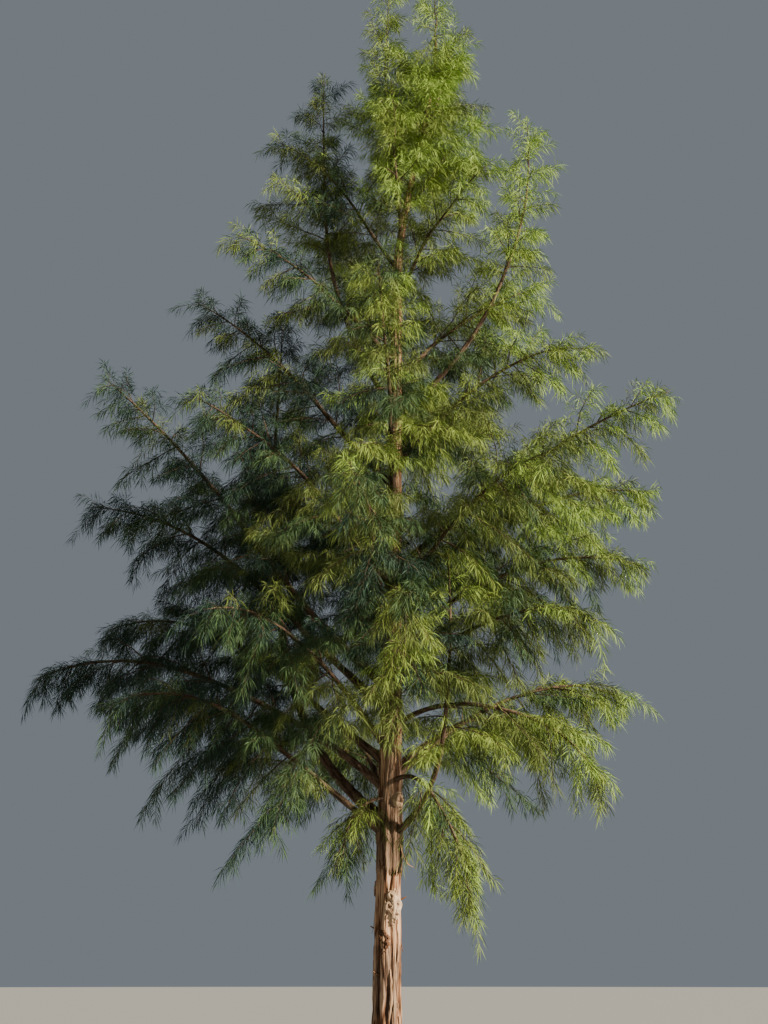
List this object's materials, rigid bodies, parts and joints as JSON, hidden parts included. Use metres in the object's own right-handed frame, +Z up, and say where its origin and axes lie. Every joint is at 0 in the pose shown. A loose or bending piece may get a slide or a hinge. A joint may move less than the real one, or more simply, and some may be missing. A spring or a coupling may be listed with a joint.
{
  "type": "pond cypress",
  "caption": "Young pond cypress rooted in the ground: a leaning trunk with a flared foot, bare lower boughs and a broad cone of hanging needle sprays",
  "frame": {"origin": "middle of the flat cut under the trunk, at ground level", "axes": "+Z up the tree, +X to the right as seen from the front, +Y away from the front"},
  "size_m": [5.4824, 4.3532, 10.6346],
  "materials": {
    "bark": "matte, fibrous reddish-brown bark",
    "bough_bark": "matte, dark brown bark",
    "needles": "matte green needles"
  },
  "bodies": {
    "root": {"bough_back_low": "bough_bark", "bough_front_left_low": "bough_bark", "bough_front_low": "bough_bark", "bough_left_hanging": "bough_bark", "bough_left_leader": "bough_bark", "bough_left_long": "bough_bark", "bough_left_low": "bough_bark", "bough_left_low_back": "bough_bark", "bough_left_low_front": "bough_bark", "bough_left_mid": "bough_bark", "bough_left_rising": "bough_bark", "bough_right_arching": "bough_bark", "bough_right_hanging": "bough_bark", "bough_right_leader": "bough_bark", "bough_right_low": "bough_bark", "bough_right_low_back": "bough_bark", "bough_right_mid": "bough_bark", "bough_right_weeping": "bough_bark", "mass_back_left_mid": "needles", "mass_back_left_top": "needles", "mass_back_low": "needles", "mass_back_mid": "needles", "mass_back_right_top": "needles", "mass_back_tip": "needles", "mass_back_upper": "needles", "mass_crown_tip": "needles", "mass_front_left_low": "needles", "mass_front_left_mid": "needles", "mass_front_left_top": "needles", "mass_front_low": "needles", "mass_front_mid": "needles", "mass_front_right_mid": "needles", "mass_front_right_top": "needles", "mass_front_tip": "needles", "mass_front_upper": "needles", "mass_left_hanging": "needles", "mass_left_leader": "needles", "mass_left_long": "needles", "mass_left_low": "needles", "mass_left_low_back": "needles", "mass_left_low_front": "needles", "mass_left_mid": "needles", "mass_left_rising": "needles", "mass_left_tip": "needles", "mass_left_top": "needles", "mass_left_upper": "needles", "mass_right_arching": "needles", "mass_right_hanging": "needles", "mass_right_leader": "needles", "mass_right_low": "needles", "mass_right_low_back": "needles", "mass_right_mid": "needles", "mass_right_mid_back": "needles", "mass_right_middle_low": "needles", "mass_right_rising": "needles", "mass_right_tip": "needles", "mass_right_top": "needles", "mass_right_upper": "needles", "mass_right_weeping": "needles", "trunk": "bark"}
  },
  "joints": []
}
